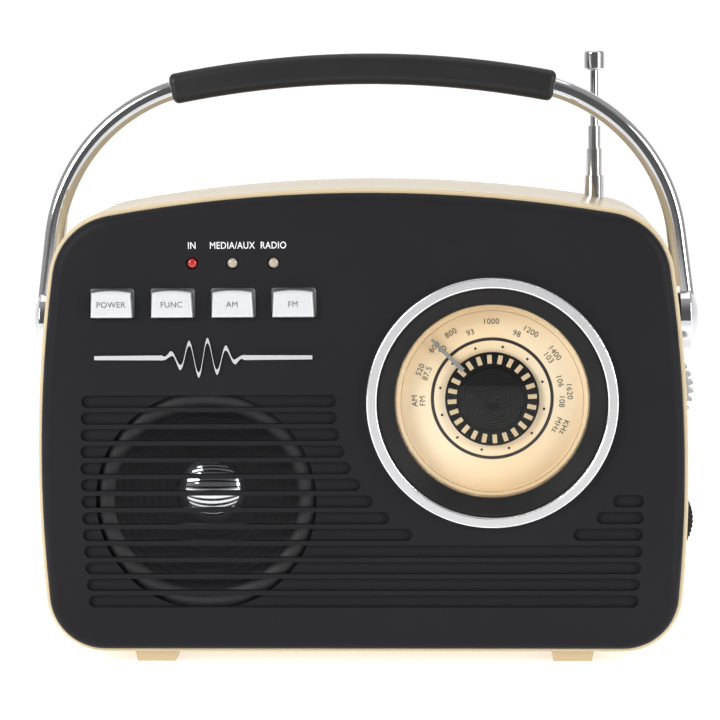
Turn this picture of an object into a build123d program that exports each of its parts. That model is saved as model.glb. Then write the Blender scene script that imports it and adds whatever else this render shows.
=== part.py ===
from build123d import *
import math
import os

# Tabletop radio with a carrying handle. Millimetres, +Z up, the face looks along -Y.
# Heights below are measured from a line just under the cabinet; the finished pieces are
# raised by FOOT_DROP, so that the origin is on the surface the radio stands on, under the
# middle of the cabinet.

# ---- cabinet --------------------------------------------------------------------------
HALF_WIDTH = 119.0          # face panel, at its widest height
WIDEST_Z = 68.0
SIDE_BOW = 520.0            # radius of the bowed sides
PANEL_TOP = 172.8
TOP_BOW = 544.0             # radius of the bowed top
PANEL_BOTTOM = 3.1
FOOT_DROP = 3.0             # the feet reach this far below the line heights start from
TOP_CORNER = 25.0
BOTTOM_CORNER = 20.5
FRAME_PROUD = 1.6           # the cream frame stands this far outside the face panel
WALL = 3.2
FACE_Y = -40.0
FRAME_FRONT_Y = -35.0
SPLIT_Y = 14.0              # joint between the frame and the rear cover
BACK_Y = 43.0
PLATE = 3.0                 # thickness of the face plate and of the rear wall
PLATE_BACK_Y = FACE_Y + PLATE
REAR_INNER_Y = BACK_Y - PLATE
PANEL_EDGE, FRAME_EDGE, COVER_EDGE = 4.0, 1.4, 7.0      # roundings of the three shells
PANEL_SKIRT = 4.1           # inside of the face panel's rim, in from the outline
LIP_IN, LIP_DEEP = 1.8, 5.0             # lip of the face panel that enters the frame
THROUGH = 1.0               # how far a cutter passes beyond the face it cuts
FOOT_X, FOOT_Y = 78, (-24, 28)
FOOT_TOP, FOOT_BASE = (16, 14), (14.4, 12.4)
VENT_ROWS, VENT_LOW_Z, VENT_PITCH = 6, 126, 6.5
VENT_LONG, VENT_SHRINK, VENT_HIGH = 84, 4, 2.6

# ---- grille ---------------------------------------------------------------------------
SPEAKER_X, SPEAKER_Z = -57.7, 59.2
SPEAKER_WINDOW = 41.0
SLOT_ROWS = 13
SLOT_TOP_Z = 96.6
SLOT_PITCH = 6.24
SLOT_HEIGHT = 4.6
SLOT_EDGE = 15.0            # slot ends stop this far from the panel's side
SLOT_DEPTH = 1.6
DIAL_CLEAR = 57.3           # slots stop on this circle about the dial
FULL_ROW = 9                # from this row down the slots run the whole width

# ---- dial -----------------------------------------------------------------------------
DIAL_X, DIAL_Z = 48.3, 95.7
DIAL_OPENING = 42.2
RING_IN, RING_OUT = 42.3, 46.25
DIAL_FLOOR_Y = -27.0
POINTER_DEG = -45.0         # from straight up, clockwise seen from the front
SHAFT_R = 3.0
RUNNING = 0.05              # radial clearance of a shaft in its bore
MODULE = 1.0
DIAL_TEETH, TUNING_TEETH = 88, 30
GEAR_FRONT_Y, GEAR_BACK_Y = -24.5, -21.5
ADDENDUM, DEDENDUM = 0.75, 1.1          # tooth tip and root from the pitch circle, per module
HALF_TOOTH_ROOT, HALF_TOOTH_TIP = 0.95, 0.36
GEAR_HOLES, GEAR_HOLE_R, GEAR_HOLE_AT = 6, 9, 25
DISC_R, DISC_Y = 17.45, -29.0
CAP_R, CAP_HIGH, CAP_EDGE = 11.8, 1.0, 0.8
NEEDLE_IN, NEEDLE_OUT, NEEDLE_THICK = 15.2, 31.6, 0.6
NEEDLE_HALF_IN, NEEDLE_HALF_OUT = 0.85, 0.5
RING_PROUD, RING_EDGE = 2.5, 0.7
SHAFT_FRONT_Y, SHAFT_BACK_Y = -28.4, -8.5

# ---- edge wheels ----------------------------------------------------------------------
WHEEL_R = 16.0
WHEEL_SPANS = {"tuning": (-24.5, -15.5), "volume": (-20.5, -12.5)}      # front and back depths
TUNING_Z = 98.6
GEAR_DISTANCE = MODULE * (DIAL_TEETH + TUNING_TEETH) / 2
WHEEL_X = DIAL_X + math.sqrt(GEAR_DISTANCE ** 2 - (TUNING_Z - DIAL_Z) ** 2)
VOLUME_Z = 49.0
BRACKET_Y = -10.5
BRACKET_PLATE = 2.0
BRACKET_X, BRACKET_Z = (97, 112), (25, 130)
BRACKET_POST_X, BRACKET_POSTS = 104, (29, 74, 124)
WHEEL_OPENING = 15.2        # half height of the frame's openings for the wheels
PIN_R, PIN_HEAD_R = 2.0, 3.4
VOLUME_NOTCHES, NOTCH_R = 56, 0.5
CONTROL_R, CONTROL_DEEP, CONTROL_BORE = 8.2, 8, 6

# ---- keys and indicators --------------------------------------------------------------
KEY_NAMES = ("power_key", "function_key", "am_key", "fm_key")
KEY_PITCH = 22.3
KEY_Z = 132.8
KEY_WIDTH, KEY_HEIGHT = 15.3, 9.9
KEY_PROUD = 3.0
KEY_TRAVEL = 2.0
KEY_GAP = 0.7               # clearance of a key in its hole
KEY_FLANGE = 1.2            # the flange behind the panel stands this far outside the cap
KEY_TAPER, KEY_ARCH, KEY_EDGE = 0.5, 0.7, 0.9
STEM_HALF = 1.5
LAMP_X = (-61.3, -46.5, -31.4)
LAMP_Z = 147.6
LAMP_R = 1.95
LAMP_GAP, LAMP_COLLAR = 0.35, 0.4
LAMP_SEAT_Y = -34.0
LAMP_LONG, LAMP_DOME = 6.6, 1.5
LEG_AT, LEG_HALF = 1.2, 0.3
ORNAMENT_Z, ORNAMENT_HALF = 112.9, 40.2
ORNAMENT_PROUD = 0.9
BAR_HIGH, BAR_END_HIGH = 1.8, 1.5
WAVE_HALF, WAVE_TALL, WAVE_CYCLES = 15.5, 6.6, 4.5
WAVE_STEPS = 72
WAVE_THIN, WAVE_SWELL = 0.6, 0.4        # half thickness of the wave line, and what its crests add

# ---- handle ---------------------------------------------------------------------------
PIVOT_Y, PIVOT_Z = 2.0, 122.6
HUB_R = 12.15
HUB_IN, HUB_OUT = 119.2, 126.6
HUB_BORE_END = HUB_OUT - 3.2
HANDLE_TOP_Z = 217.4        # centre line of the strap under the grip
HANDLE_BOW = 368.0
BOW_HALF_DEG = 10.0
SHOULDER_R = 66.0
LEG_DEG = 7.5               # lean of the legs from upright
STRAP_THICK, STRAP_WIDE = 7.3, 12.0
GRIP_HALF = 72.0
GRIP_THICK, GRIP_WIDE = 11.5, 17.0
STRAP_ROUND, GRIP_ROUND, GRIP_END = 3.0, 3.6, 2.2
PLINTH_R = 9.5
PIVOT_HEAD_R = 5.0

# ---- aerial ---------------------------------------------------------------------------
AERIAL_X, AERIAL_Y = 88.0, 27.0
SLEEVE_TOP = 175.4
SLEEVE_R = 3.75
STAGE_R = (3.05, 2.45, 1.6)             # three telescoping stages, outermost first
STAGE_TOP = (185.7, 194.5, 215.7)
STAGE_FOOT = (75.1, 84.2, 104.0)
SLEEVE_FOOT = 62.0
TIP_R, TIP_HIGH = 3.95, 7.5

# ---- battery bay ----------------------------------------------------------------------
BAY_HALF = 58.0
BAY_LOW, BAY_HIGH = 9.0, 68.0
BAY_FRONT_Y = 12.0
CELL_R, CELL_LONG = 13.1, 50.0
CELL_ROWS = (24.6, 52.4)
CELL_Y = 26.8
CELL_NUB, CELL_NUB_R = 1.5, 3.2
BAY_WALL = 1.5
CONTACT_THICK = 0.5
SPRING_FOOT_R, SPRING_TOP_R = 6.0, 3.5
DOOR_HALF = 56.0
DOOR_LOW, DOOR_HIGH = 11.0, 66.5
DOOR_GAP = 0.4
DOOR_GRIP_LONG, DOOR_GRIP_HIGH, DOOR_GRIP_DEEP = 26, 8, 1.4

# ---- rear sockets, inner boards and ferrite rod --------------------------------------
SWITCH_TIP_Y = -24.8
BOARD_FRONT_Y = -20.5
FERRITE_Y, FERRITE_Z = 20.0, 153.0
SOCKET_Z = 98.0
USB_X, CARD_X, AUX_X = 22.0, 46.0, 67.0
INLET_X, INLET_Z = -84.0, 80.0
INLET_WIDE, INLET_HIGH = 17.6, 10.0
USB_HOLE, CARD_HOLE, AUX_HOLE_R = (15.2, 7.6), (27.2, 4.6), 4.0
MEDIA_BACK_Y = 23.6
KEY_BOARD_THICK = 1.6
MAIN_BOARD_Y = (-6.0, -4.4)
CAPACITOR_HALF = 10.5
ROD_R, COIL_R, ROD_HALF = 5.0, 6.6, 58
CLIP_X = 52

# ---- fixings --------------------------------------------------------------------------
CASE_POSTS = ((-104, 146), (104, 146), (-100, 16), (100, 16))
BOARD_POSTS = ((8, 54), (86, 54), (8, 138), (88, 138))
POST_R = 4.0
SCREW_R = 1.5
COUNTERBORE_R, COUNTERBORE_Y = 3.4, 34
BOARD_POST_R, BOARD_SCREW_R = 2.5, 1.0

BOTTOM = (Align.CENTER, Align.CENTER, Align.MIN)


# ---- helpers --------------------------------------------------------------------------
def slab(sketch, front, back):
    """Solid of a sketch drawn in X and Z, between two depths."""
    return extrude(Plane.XZ.offset(-back) * sketch, amount=back - front)


def disc(x, z, radius, front, back):
    return slab(Pos(x, z) * Circle(radius), front, back)


def block(x0, x1, y0, y1, z0, z1):
    return Pos((x0 + x1) / 2, (y0 + y1) / 2, (z0 + z1) / 2) * Box(x1 - x0, y1 - y0, z1 - z0)


def rod_x(radius, x0, x1, y, z):
    return Pos((x0 + x1) / 2, y, z) * Rot(0, 90, 0) * Cylinder(radius, x1 - x0)


def rod_z(radius, z0, z1, x, y):
    return Pos(x, y, z0) * Cylinder(radius, z1 - z0, align=BOTTOM)


def turned(profile, x, z):
    """Solid turned about a front-to-back axis; the profile is radius and depth."""
    return Pos(x, 0, z) * revolve(make_face(Polyline(*profile, close=True)), Axis.Y)


def outline(grow=0.0):
    """Cabinet outline in X and Z: bowed sides and top, flat bottom, round corners."""
    shape = Pos(0, PANEL_BOTTOM - grow) * Rectangle(400, 400, align=(Align.CENTER, Align.MIN))
    for side in (-1, 1):
        shape &= Pos(side * (HALF_WIDTH - SIDE_BOW), WIDEST_Z) * Circle(SIDE_BOW + grow)
    shape &= Pos(0, PANEL_TOP - TOP_BOW) * Circle(TOP_BOW + grow)
    shape = fillet(shape.vertices().sort_by(Axis.Y)[:2], BOTTOM_CORNER + grow)
    return fillet(shape.vertices().sort_by(Axis.Y)[-2:], TOP_CORNER + grow)


def half_width(z, grow=0.0):
    """Half width of the cabinet at a height on its bowed sides."""
    rise = z - WIDEST_Z
    return HALF_WIDTH - SIDE_BOW + math.sqrt((SIDE_BOW + grow) ** 2 - rise ** 2)


def gear(teeth, tooth_at):
    """Spur gear outline with one tooth centred at the given angle."""
    pitch = 360 / teeth
    root = MODULE * (teeth / 2 - DEDENDUM)
    tip = MODULE * (teeth / 2 + ADDENDUM)
    root_half = math.degrees(HALF_TOOTH_ROOT * MODULE / root)
    tip_half = math.degrees(HALF_TOOTH_TIP * MODULE / tip)
    points = []
    for n in range(teeth):
        middle = tooth_at + n * pitch
        for radius, turn in ((root, -root_half), (tip, -tip_half), (tip, tip_half), (root, root_half)):
            angle = math.radians(middle + turn)
            points.append((radius * math.cos(angle), radius * math.sin(angle)))
    return make_face(Polyline(*points, close=True))


def crown(radius, rim, apex):
    """Arc from a rim to its apex on the axis, on a circle centred on the axis."""
    rise = apex - rim
    bend = (radius ** 2 + rise ** 2) / (2 * rise)
    half = math.asin(radius / bend) / 2
    middle = (bend * math.sin(half), apex - bend * (1 - math.cos(half)))
    return ThreePointArc((radius, rim), middle, (0, apex))


def key_centre(n):
    return SPEAKER_X + (n - 1.5) * KEY_PITCH


# ---- casing ---------------------------------------------------------------------------
def grille_slots():
    slots = []
    for row in range(SLOT_ROWS):
        z = SLOT_TOP_Z - row * SLOT_PITCH
        end = half_width(z) - SLOT_EDGE
        if row >= FULL_ROW:
            spans = [(-end, end)]
        else:
            reach = math.sqrt(DIAL_CLEAR ** 2 - (z - DIAL_Z) ** 2)
            spans = [(-end, DIAL_X - reach), (DIAL_X + reach, end)]
        for left, right in spans:
            if right - left > 2 * SLOT_HEIGHT:
                middle = (left + right) / 2
                slots.append(Pos(middle, z) * SlotOverall(right - left, SLOT_HEIGHT))
    return Sketch() + slots


def front_panel():
    panel = slab(outline(), FACE_Y, FRAME_FRONT_Y)
    panel = fillet(panel.faces().sort_by(Axis.Y)[0].edges(), PANEL_EDGE)
    panel -= slab(outline(-PANEL_SKIRT), PLATE_BACK_Y, FRAME_FRONT_Y)
    lip = outline(-LIP_IN) - outline(-PANEL_SKIRT)
    panel += slab(lip, FRAME_FRONT_Y, FRAME_FRONT_Y + LIP_DEEP)
    slots = grille_slots()
    front, back = FACE_Y - THROUGH, PLATE_BACK_Y + THROUGH
    panel -= slab(slots, front, FACE_Y + SLOT_DEPTH)
    window = Pos(SPEAKER_X, SPEAKER_Z) * Circle(SPEAKER_WINDOW)
    panel -= slab(slots & window, front, back)
    panel -= disc(DIAL_X, DIAL_Z, DIAL_OPENING, front, back)
    for n in range(len(KEY_NAMES)):
        hole = RectangleRounded(KEY_WIDTH + 2 * KEY_GAP, KEY_HEIGHT + 2 * KEY_GAP, 1.2)
        panel -= slab(Pos(key_centre(n), KEY_Z) * hole, front, back)
    for x in LAMP_X:
        panel -= disc(x, LAMP_Z, LAMP_R + LAMP_GAP, front, back)
    for x, z in CASE_POSTS:
        panel += disc(x, z, POST_R, PLATE_BACK_Y, SPLIT_Y)
        panel -= disc(x, z, SCREW_R, -20, SPLIT_Y)
    for x, z in BOARD_POSTS:
        panel += disc(x, z, BOARD_POST_R, PLATE_BACK_Y, MAIN_BOARD_Y[0])
        panel -= disc(x, z, BOARD_SCREW_R, -14, MAIN_BOARD_Y[0])
    return panel


def cabinet_frame():
    frame = slab(outline(FRAME_PROUD), FRAME_FRONT_Y, SPLIT_Y)
    frame = fillet(frame.faces().sort_by(Axis.Y)[0].edges(), FRAME_EDGE)
    frame -= slab(outline(FRAME_PROUD - WALL), FRAME_FRONT_Y - THROUGH, SPLIT_Y + THROUGH)
    for z, (front, back) in zip((TUNING_Z, VOLUME_Z), WHEEL_SPANS.values()):
        frame -= block(110, 126, front - 1, back + 1, z - WHEEL_OPENING, z + WHEEL_OPENING)
    for side in (-1, 1):
        frame -= Pos(side * 117, PIVOT_Y, PIVOT_Z) * Rot(0, 90, 0) * Cylinder(SHAFT_R, 12)
    return frame


def rear_cover():
    cover = slab(outline(FRAME_PROUD), SPLIT_Y, BACK_Y)
    cover = fillet(cover.faces().sort_by(Axis.Y)[-1].edges(), COVER_EDGE)
    cover -= slab(outline(FRAME_PROUD - WALL), SPLIT_Y - THROUGH, REAR_INNER_Y)
    for x, z in CASE_POSTS:
        cover += disc(x, z, POST_R + 0.8, SPLIT_Y, REAR_INNER_Y)
        cover -= disc(x, z, SCREW_R + 0.2, SPLIT_Y - THROUGH, BACK_Y)
        cover -= disc(x, z, COUNTERBORE_R, COUNTERBORE_Y, BACK_Y + THROUGH)
    inside, outside = REAR_INNER_Y - THROUGH, BACK_Y + THROUGH
    cover -= block(-DOOR_HALF - DOOR_GAP, DOOR_HALF + DOOR_GAP, inside, outside,
                   DOOR_LOW - DOOR_GAP, DOOR_HIGH + DOOR_GAP)
    for row in range(VENT_ROWS):
        vent = SlotOverall(VENT_LONG - row * VENT_SHRINK, VENT_HIGH)
        cover -= slab(Pos(0, VENT_LOW_Z + row * VENT_PITCH) * vent, inside, outside)
    cover -= rod_z(SLEEVE_R, 150, 180, AERIAL_X, AERIAL_Y)
    cover -= slab(Pos(USB_X, SOCKET_Z) * Rectangle(*USB_HOLE), inside, outside)
    cover -= slab(Pos(CARD_X, SOCKET_Z) * Rectangle(*CARD_HOLE), inside, outside)
    cover -= disc(AUX_X, SOCKET_Z, AUX_HOLE_R, inside, outside)
    cover -= slab(Pos(INLET_X, INLET_Z) * SlotOverall(INLET_WIDE, INLET_HIGH), inside, outside)
    return cover


def feet():
    """Four low feet, a little narrower at the floor, under the frame and the rear cover."""
    top = PANEL_BOTTOM - FRAME_PROUD
    pads = []
    for x in (-FOOT_X, FOOT_X):
        for y in FOOT_Y:
            upper = Pos(x, y, top) * Rectangle(*FOOT_TOP)
            lower = Pos(x, y, -FOOT_DROP) * Rectangle(*FOOT_BASE)
            pads.append(loft([upper, lower]))
    return pads


def battery_door():
    door = block(-DOOR_HALF, DOOR_HALF, REAR_INNER_Y + 0.2, BACK_Y, DOOR_LOW, DOOR_HIGH)
    outer = door.faces().sort_by(Axis.Y)[-1]
    recess = Pos(0, DOOR_HIGH - 9) * SlotOverall(DOOR_GRIP_LONG, DOOR_GRIP_HIGH)
    floor_y = BACK_Y - DOOR_GRIP_DEEP
    door = chamfer(outer.edges(), 0.5) - slab(recess, floor_y, BACK_Y + THROUGH)
    for z in (DOOR_HIGH - 11, DOOR_HIGH - 9, DOOR_HIGH - 7):
        door += block(-8, 8, floor_y, BACK_Y - 0.5, z - 0.4, z + 0.4)
    return door


def battery_box():
    box = block(-BAY_HALF, BAY_HALF, BAY_FRONT_Y, REAR_INNER_Y, BAY_LOW, BAY_HIGH)
    box -= block(-BAY_HALF + BAY_WALL, BAY_HALF - BAY_WALL, BAY_FRONT_Y + BAY_WALL,
                 REAR_INNER_Y + THROUGH, BAY_LOW + 1.8, BAY_HIGH - 1.3)
    return box


def battery_cells():
    """Two rows of two cells, each row the other way round."""
    contact = BAY_HALF - BAY_WALL - CONTACT_THICK
    cells = []
    for row, z in enumerate(CELL_ROWS):
        start = contact - 2 * CELL_LONG if row else -contact
        for n in range(2):
            x0 = start + n * CELL_LONG
            x1 = x0 + CELL_LONG
            if row:
                can = (x0, x1 - CELL_NUB)
                tip = (x1 - CELL_NUB, x1)
            else:
                can = (x0 + CELL_NUB, x1)
                tip = (x0, x0 + CELL_NUB)
            cells.append(rod_x(CELL_R, *can, CELL_Y, z) + rod_x(CELL_NUB_R, *tip, CELL_Y, z))
    return cells


def battery_contacts():
    """Plates at the ends of the bay, each with a conical spring that presses on a cell."""
    outer = BAY_HALF - BAY_WALL
    inner = outer - CONTACT_THICK
    spring_long = 2 * (inner - CELL_LONG)
    contacts = []
    for side, z in ((-1, CELL_ROWS[1]), (1, CELL_ROWS[0])):
        plate = block(min(side * inner, side * outer), max(side * inner, side * outer), 18, 36,
                      16, 61)
        turn = Rot(0, -90 * side, 0)
        spring = turn * Cone(SPRING_FOOT_R, SPRING_TOP_R, spring_long)
        spring = Pos(side * (inner - spring_long / 2), CELL_Y, z) * spring
        contacts.append(plate + spring)
    return contacts


# ---- dial -----------------------------------------------------------------------------
def dial_ring():
    front_y = FACE_Y - RING_PROUD
    ring = turned([(RING_IN, FACE_Y), (RING_OUT, FACE_Y), (RING_OUT, front_y), (RING_IN, front_y)],
                  DIAL_X, DIAL_Z)
    return fillet(ring.edges().group_by(Axis.Y)[0], RING_EDGE)


def dial_bezel():
    return turned([(41.2, -41.4), (42.0, -41.4), (42.0, PLATE_BACK_Y), (46.0, PLATE_BACK_Y),
                   (46.0, -35.0), (35.9, -35.0), (35.9, -36.4)], DIAL_X, DIAL_Z)


def dial_lens():
    """Clear domed window with a flat rim that the bezel holds down."""
    outside = crown(35.5, -36.2, -39.8)
    inside = crown(34.2, -34.9, -38.4)
    rim = Polyline((34.2, -34.9), (34.2, -33.5), (36.8, -33.5), (36.8, -35.0), (35.5, -35.0),
                   (35.5, -36.2))
    axis_line = Line((0, -39.8), (0, -38.4))
    profile = make_face([outside, axis_line, inside, rim])
    return Pos(DIAL_X, 0, DIAL_Z) * revolve(profile, Axis.Y)


def dial_plate():
    """Printed scale plate: a shallow dish with a flange that screws behind the bezel."""
    back = DIAL_FLOOR_Y + 1.5
    return turned([(SHAFT_R + RUNNING, DIAL_FLOOR_Y), (33.9, DIAL_FLOOR_Y), (35.4, -33.5),
                   (36.9, -33.5), (36.9, -35.0), (46.0, -35.0), (46.0, -33.5), (38.2, -33.5),
                   (37.2, back), (SHAFT_R + RUNNING, back)], DIAL_X, DIAL_Z)


def dial_disc():
    """Black disc that turns with the pointer, with a low domed cap at its middle."""
    back = -27.6
    rim = turned([(0, DISC_Y), (DISC_R, DISC_Y), (DISC_R, back), (SHAFT_R, back),
                  (SHAFT_R, SHAFT_FRONT_Y), (0, SHAFT_FRONT_Y)], DIAL_X, DIAL_Z)
    cap = Pos(DIAL_X, DISC_Y, DIAL_Z) * Rot(90, 0, 0) * Cylinder(CAP_R, CAP_HIGH, align=BOTTOM)
    cap = fillet(cap.edges().group_by(Axis.Y)[0], CAP_EDGE)
    return rim + cap


def dial_pointer():
    needle = make_face(Polyline(
        (-NEEDLE_HALF_IN, NEEDLE_IN), (NEEDLE_HALF_IN, NEEDLE_IN), (NEEDLE_HALF_OUT, NEEDLE_OUT),
        (-NEEDLE_HALF_OUT, NEEDLE_OUT), close=True))
    needle = Pos(DIAL_X, DIAL_Z) * Rot(0, 0, -POINTER_DEG) * needle
    return slab(needle, DISC_Y - NEEDLE_THICK, DISC_Y)


def mesh_angle():
    """Direction from the dial gear to the tuning wheel, from +X towards +Z."""
    return math.degrees(math.atan2(TUNING_Z - DIAL_Z, WHEEL_X - DIAL_X))


def dial_gear():
    """Large spoked gear moulded on the shaft that carries the disc and turns the capacitor."""
    face = gear(DIAL_TEETH, mesh_angle())
    for n in range(GEAR_HOLES):
        face -= Rot(0, 0, n * 360 / GEAR_HOLES) * Pos(GEAR_HOLE_AT, 0) * Circle(GEAR_HOLE_R)
    wheel = slab(Pos(DIAL_X, DIAL_Z) * face, GEAR_FRONT_Y, GEAR_BACK_Y)
    return wheel + disc(DIAL_X, DIAL_Z, SHAFT_R, SHAFT_FRONT_Y, SHAFT_BACK_Y)


# ---- edge wheels ----------------------------------------------------------------------
def tuning_wheel():
    """Toothed thumb wheel that drives the dial gear directly, with a boss behind it."""
    front, back = WHEEL_SPANS["tuning"]
    bore = Circle(PIN_R + RUNNING)
    centre = Pos(WHEEL_X, TUNING_Z)
    face = gear(TUNING_TEETH, mesh_angle() + 180 + 180 / TUNING_TEETH)
    wheel = slab(centre * (face - bore), front, back)
    wheel -= slab(centre * (Circle(11) - Circle(5)), back - 2, back)
    return wheel + slab(centre * (Circle(4.5) - bore), back, BRACKET_Y - 0.3)


def volume_wheel():
    """Thumb wheel with fine notches round its rim, pressed on the control's shaft."""
    front, back = WHEEL_SPANS["volume"]
    notch = Pos(WHEEL_R + 0.15, 0) * Circle(NOTCH_R)
    cuts = [Rot(0, 0, n * 360 / VOLUME_NOTCHES) * notch for n in range(VOLUME_NOTCHES)]
    face = Circle(WHEEL_R) - Circle(SHAFT_R) - cuts
    return slab(Pos(WHEEL_X, VOLUME_Z) * face, front, back)


def tuning_pin():
    pin = disc(WHEEL_X, TUNING_Z, PIN_R, GEAR_FRONT_Y - 0.8, BRACKET_Y + BRACKET_PLATE)
    return pin + disc(WHEEL_X, TUNING_Z, PIN_HEAD_R, GEAR_FRONT_Y - 1.6, GEAR_FRONT_Y - 0.3)


def wheel_bracket():
    """Plate behind both edge wheels, on three posts that reach the face panel."""
    back = BRACKET_Y + BRACKET_PLATE
    bracket = block(*BRACKET_X, BRACKET_Y, back, *BRACKET_Z)
    for z in BRACKET_POSTS:
        bracket += disc(BRACKET_POST_X, z, 3.0, PLATE_BACK_Y, BRACKET_Y)
    bracket -= disc(WHEEL_X, TUNING_Z, PIN_R, BRACKET_Y - 1, back + 1)
    bracket -= disc(WHEEL_X, VOLUME_Z, SHAFT_R + RUNNING, BRACKET_Y - 1, back + 1)
    return bracket


def volume_control():
    """Rotary control behind the bracket, with a bore for its shaft and three lugs."""
    front = BRACKET_Y + BRACKET_PLATE
    middle = WHEEL_X - 0.5
    body = disc(middle, VOLUME_Z, CONTROL_R, front, front + CONTROL_DEEP)
    body -= disc(WHEEL_X, VOLUME_Z, SHAFT_R + RUNNING, front - THROUGH, front + CONTROL_BORE)
    for x in (middle - 5, middle, middle + 5):
        body += block(x - 0.5, x + 0.5, front + 3, front + 4, VOLUME_Z - 13, VOLUME_Z - 6)
    return body


def volume_shaft():
    back = BRACKET_Y + BRACKET_PLATE + CONTROL_BORE - 0.5
    return disc(WHEEL_X, VOLUME_Z, SHAFT_R, WHEEL_SPANS["volume"][0], back)


# ---- keys and indicators --------------------------------------------------------------
def key(n):
    """Push key: cap with an arched top edge, a flange behind the panel and a stem."""
    x = key_centre(n)
    low, high = -KEY_HEIGHT / 2, KEY_HEIGHT / 2
    wide = KEY_WIDTH / 2
    narrow = wide - KEY_TAPER
    shoulder = high - KEY_ARCH
    arch = ThreePointArc((narrow, shoulder), (0, high), (-narrow, shoulder))
    sides = Polyline((-narrow, shoulder), (-wide, low), (wide, low), (narrow, shoulder))
    flange_front, flange_back = PLATE_BACK_Y + 0.2, PLATE_BACK_Y + 1.6
    cap = slab(Pos(x, KEY_Z) * make_face([arch, sides]), FACE_Y - KEY_PROUD, flange_front + 0.2)
    front = cap.faces().sort_by(Axis.Y)[0]
    cap = fillet(front.edges(), KEY_EDGE)
    flange = Rectangle(KEY_WIDTH + 2 * KEY_FLANGE, KEY_HEIGHT + 2 * KEY_FLANGE)
    cap += slab(Pos(x, KEY_Z) * flange, flange_front, flange_back)
    return cap + block(x - STEM_HALF, x + STEM_HALF, flange_back, SWITCH_TIP_Y - KEY_TRAVEL - 0.1,
                       KEY_Z - STEM_HALF, KEY_Z + STEM_HALF)


def key_board():
    return block(-98, -15, BOARD_FRONT_Y, BOARD_FRONT_Y + KEY_BOARD_THICK, 125, 152)


def key_switches():
    switches = []
    for n in range(len(KEY_NAMES)):
        x = key_centre(n)
        case = block(x - 3, x + 3, SWITCH_TIP_Y + 0.8, BOARD_FRONT_Y, KEY_Z - 3, KEY_Z + 3)
        switches.append(case + disc(x, KEY_Z, 1.7, SWITCH_TIP_Y, SWITCH_TIP_Y + 0.8))
    return switches


def lamp(x):
    """Small domed indicator lamp with a collar and two legs down to the key board."""
    seat = Pos(x, LAMP_SEAT_Y, LAMP_Z) * Rot(90, 0, 0)
    body = seat * Cylinder(LAMP_R, LAMP_LONG, align=BOTTOM)
    body = fillet(body.edges().group_by(Axis.Y)[0], LAMP_DOME)
    body += disc(x, LAMP_Z, LAMP_R + LAMP_COLLAR, LAMP_SEAT_Y - 1, LAMP_SEAT_Y)
    for leg in (x - LEG_AT, x + LEG_AT):
        body += block(leg - LEG_HALF, leg + LEG_HALF, LAMP_SEAT_Y, BOARD_FRONT_Y,
                      LAMP_Z - LEG_HALF, LAMP_Z + LEG_HALF)
    return body


def front_ornament():
    """Thin raised strip with a small wave packet in its middle."""
    place = Pos(SPEAKER_X, ORNAMENT_Z)
    upper, lower = [], []
    for n in range(WAVE_STEPS + 1):
        t = n / WAVE_STEPS * 2 - 1
        phase = t * math.pi * WAVE_CYCLES
        height = WAVE_TALL * math.cos(t * math.pi / 2) ** 1.4 * math.sin(phase)
        thick = WAVE_THIN + WAVE_SWELL * (1 - abs(math.cos(phase)))
        upper.append((t * WAVE_HALF, height + thick))
        lower.append((t * WAVE_HALF, height - thick))
    face = place * make_face(Polyline(*upper, *reversed(lower), close=True))
    for side in (-1, 1):
        inner, outer = side * (WAVE_HALF - 0.5), side * ORNAMENT_HALF
        face += place * make_face(Polyline(
            (inner, -BAR_HIGH / 2), (outer, -BAR_END_HIGH / 2), (outer, BAR_END_HIGH / 2),
            (inner, BAR_HIGH / 2), close=True))
    return slab(face, FACE_Y - ORNAMENT_PROUD, FACE_Y)


# ---- speaker --------------------------------------------------------------------------
def speaker_basket():
    basket = turned([(41.0, -35.5), (43.4, -35.5), (43.4, PLATE_BACK_Y), (46.5, PLATE_BACK_Y),
                     (46.5, -34.0), (43.6, -34.0), (25.0, -8.0), (13.6, -8.0), (13.6, -9.2),
                     (24.2, -9.2), (41.0, -33.0)], SPEAKER_X, SPEAKER_Z)
    for n in range(4):
        turn = Pos(SPEAKER_X, 0, SPEAKER_Z) * Rot(0, n * 90, 0)
        basket -= turn * Pos(0, -20, 34) * Box(34, 20, 26)
        ear = turn * Rot(0, 45, 0) * Pos(0, -34.75, 47.5) * Box(9, 1.5, 9)
        hole = turn * Rot(0, 45, 0) * Pos(0, -34.75, 49) * Rot(90, 0, 0) * Cylinder(1.4, 4)
        basket = basket + ear - hole
    return basket


def speaker_surround():
    """Half-roll rubber edge between the basket and the cone."""
    front = ThreePointArc((41.0, -35.6), (37.7, -36.9), (34.4, -35.6))
    back = ThreePointArc((34.4, -35.0), (37.7, -36.3), (41.0, -35.0))
    ends = [Line((34.4, -35.6), (34.4, -35.0)), Line((41.0, -35.0), (41.0, -35.6))]
    return Pos(SPEAKER_X, 0, SPEAKER_Z) * revolve(make_face([front, back, *ends]), Axis.Y)


def speaker_cone():
    return turned([(34.4, -35.6), (34.4, -34.8), (12.9, -15.6), (12.9, -16.9)],
                  SPEAKER_X, SPEAKER_Z)


def speaker_dust_cap():
    dome = crown(12.9, -17.2, -21.4)
    inner = crown(12.3, -16.9, -20.8)
    ends = [Line((0, -21.4), (0, -20.8)), Line((12.3, -16.9), (12.9, -17.2))]
    return Pos(SPEAKER_X, 0, SPEAKER_Z) * revolve(make_face([dome, inner, *ends]), Axis.Y)


def speaker_magnet():
    magnet = disc(SPEAKER_X, SPEAKER_Z, 22.5, -8.0, 5.0)
    gap = Circle(13.5) - Circle(11.7)
    magnet -= slab(Pos(SPEAKER_X, SPEAKER_Z) * gap, -9.0, 0.0)
    return magnet


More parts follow.
